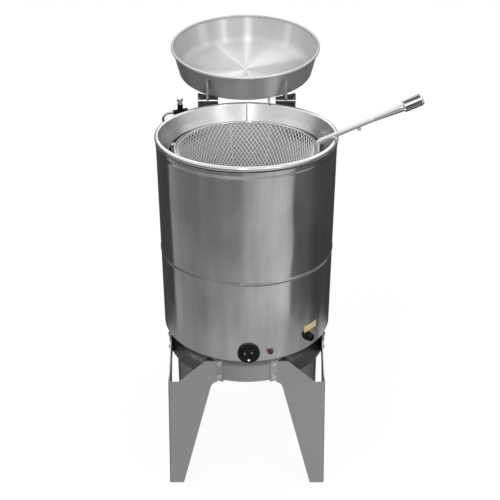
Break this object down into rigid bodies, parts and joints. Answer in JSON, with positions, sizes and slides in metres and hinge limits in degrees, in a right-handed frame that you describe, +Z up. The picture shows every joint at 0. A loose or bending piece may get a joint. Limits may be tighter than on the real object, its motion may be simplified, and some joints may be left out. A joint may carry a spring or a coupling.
{
  "type": "electric fryer",
  "caption": "Round floor-standing electric fryer on sheet-metal legs, with a thermostat knob, a wire basket with a long handle and a tilted draining basin behind.",
  "frame": {"origin": "on the floor, under the axis of the round tank", "axes": "+Z up along the tank axis, -Y towards the front with the knob, +X to the right seen from the front"},
  "size_m": [0.5801, 0.7483, 0.9752],
  "materials": {
    "polished_steel": "polished stainless sheet",
    "satin_steel": "satin stainless sheet",
    "spun_steel": "spun stainless with circular marks",
    "bright_wire": "bright polished wire and tube",
    "fasteners": "bright fasteners",
    "plain_steel": "plain turned steel",
    "bezel_steel": "pale satin ring",
    "black_plastic": "black moulded plastic",
    "ivory_plastic": "pale moulded plastic",
    "red_plastic": "red clear plastic",
    "red_sleeve": "dipped sleeve",
    "brass": "plain brass",
    "copper": "drawn copper tube",
    "heating_steel": "dull sheathed tube",
    "mineral_wool": "felted wool blanket"
  },
  "bodies": {
    "frame": {"outer_shell": "polished_steel", "rim_ring": "polished_steel", "collar": "polished_steel", "tank": "polished_steel", "leg_front_left": "satin_steel", "leg_front_right": "satin_steel", "leg_rear_left": "satin_steel", "leg_rear_right": "satin_steel", "base_plate": "satin_steel", "basket_rests": "satin_steel", "rack_bars": "satin_steel", "rack_upright_left": "satin_steel", "rack_upright_right": "satin_steel", "rack_arms": "satin_steel", "rack_rods": "bright_wire", "rack_cross_rods": "bright_wire", "leg_bolts": "fasteners", "leg_nuts": "fasteners", "rack_screws": "fasteners", "rack_nuts": "fasteners", "thermostat_nut": "fasteners", "tap_nut": "fasteners", "lamp_housing": "fasteners", "drain_pipe": "plain_steel", "tap_pipe": "plain_steel", "tap_spout": "plain_steel", "thermostat_bezel": "bezel_steel", "cable_gland": "black_plastic", "gland_nut": "black_plastic", "tap_body": "black_plastic", "thermostat_body": "ivory_plastic", "terminal_block": "ivory_plastic", "lamp_lens": "red_plastic", "drain_cock": "brass", "element_nuts": "brass", "sensor_bulb": "copper", "sensor_capillary": "copper", "heating_element": "heating_steel", "insulation": "mineral_wool"},
    "knob": {"thermostat_shaft": "plain_steel", "thermostat_knob": "black_plastic"},
    "drain_valve": {"drain_ball": "plain_steel", "drain_lever": "plain_steel", "drain_lever_grip": "red_sleeve"},
    "tap_wing": {"tap_handle": "plain_steel"},
    "basket": {"basket_ring": "bright_wire", "basket_wires": "bright_wire", "basket_ribs": "bright_wire", "basket_bottom": "bright_wire", "basket_handle": "bright_wire", "basket_handle_lug": "bright_wire", "basket_ferrule": "bright_wire", "basket_grip": "bright_wire"},
    "basin_pan": {"basin": "spun_steel", "basin_spout": "spun_steel"}
  },
  "joints": [
    {"name": "thermostat_turn", "type": "hinge", "parent": "frame", "child": "knob", "pos_m": [0.00489, -0.19994, 0.3955], "axis": [-0.0244, 0.9997, 0], "range_deg": [0, 270]},
    {"name": "drain_turn", "type": "hinge", "parent": "frame", "child": "drain_valve", "pos_m": [0, 0, 0.29], "axis": [0, 1, 0], "range_deg": [0, 90]},
    {"name": "tap_turn", "type": "hinge", "parent": "frame", "child": "tap_wing", "pos_m": [-0.157, 0.15977, 0.8365], "axis": [0, 0, 1], "range_deg": [0, 90]},
    {"name": "basket_lift", "type": "slide", "parent": "frame", "child": "basket", "axis": [0, 0, 1], "range_m": [0, 0.25]},
    {"name": "basin_lift", "type": "slide", "parent": "frame", "child": "basin_pan", "axis": [0, 0, 1], "range_m": [0, 0.15]}
  ]
}
